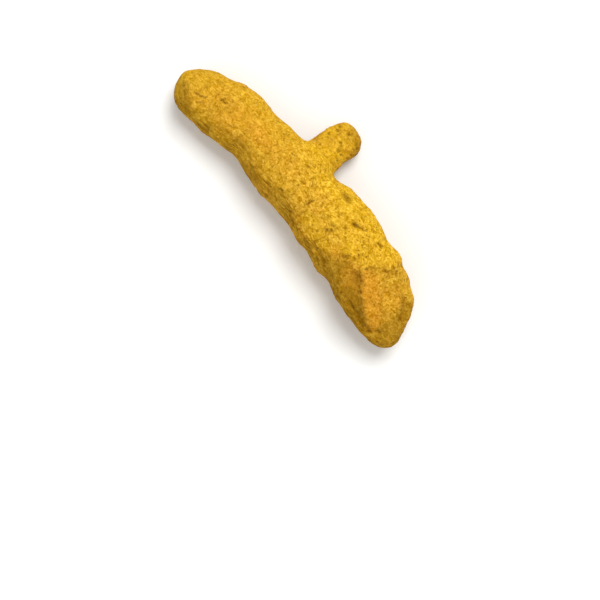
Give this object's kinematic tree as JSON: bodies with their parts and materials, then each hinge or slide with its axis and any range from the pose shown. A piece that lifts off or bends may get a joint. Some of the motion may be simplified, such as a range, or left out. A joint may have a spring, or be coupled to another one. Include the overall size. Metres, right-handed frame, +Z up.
{
  "type": "turmeric root",
  "caption": "Dried turmeric finger: one bowed, knobbly rhizome with a stubby side finger, lying on a surface, for spice and kitchen scenes.",
  "frame": {"origin": "on the resting surface, under the middle of the root's box", "axes": "+X along the finger towards its thick end, +Y towards the side finger, +Z up from the resting surface"},
  "size_m": [0.076, 0.0284, 0.0158],
  "materials": {
    "dried_skin": "matte, powdery ochre skin with orange rubbed patches"
  },
  "bodies": {
    "root": {"turmeric_root": "dried_skin"}
  },
  "joints": []
}
